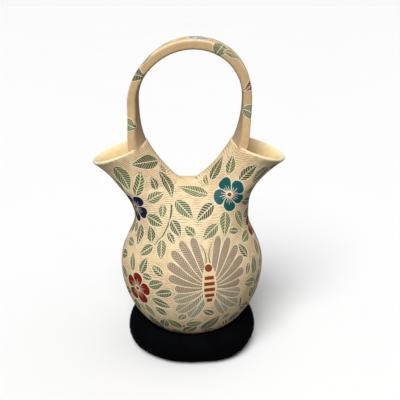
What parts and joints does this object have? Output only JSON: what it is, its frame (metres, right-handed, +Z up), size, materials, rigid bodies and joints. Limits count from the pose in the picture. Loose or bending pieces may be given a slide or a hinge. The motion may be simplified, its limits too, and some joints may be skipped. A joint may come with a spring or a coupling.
{
  "type": "wedding vase",
  "caption": "Hollow round-bellied clay vase with flared spouts joined by an arched strap handle, resting in a stuffed velvet ring.",
  "frame": {"origin": "middle of the object's bounding box, at the floor that the ring lies on", "axes": "+Z up along the pot's axis, X from spout to spout, the front towards -Y"},
  "size_m": [0.1772, 0.137, 0.298],
  "materials": {
    "clay": "satin",
    "velvet": "matte"
  },
  "bodies": {
    "root": {"vase_bowl": "clay", "vase_body": "clay", "vase_spouts": "clay", "vase_handle": "clay", "ring_cushion": "velvet"}
  },
  "joints": []
}
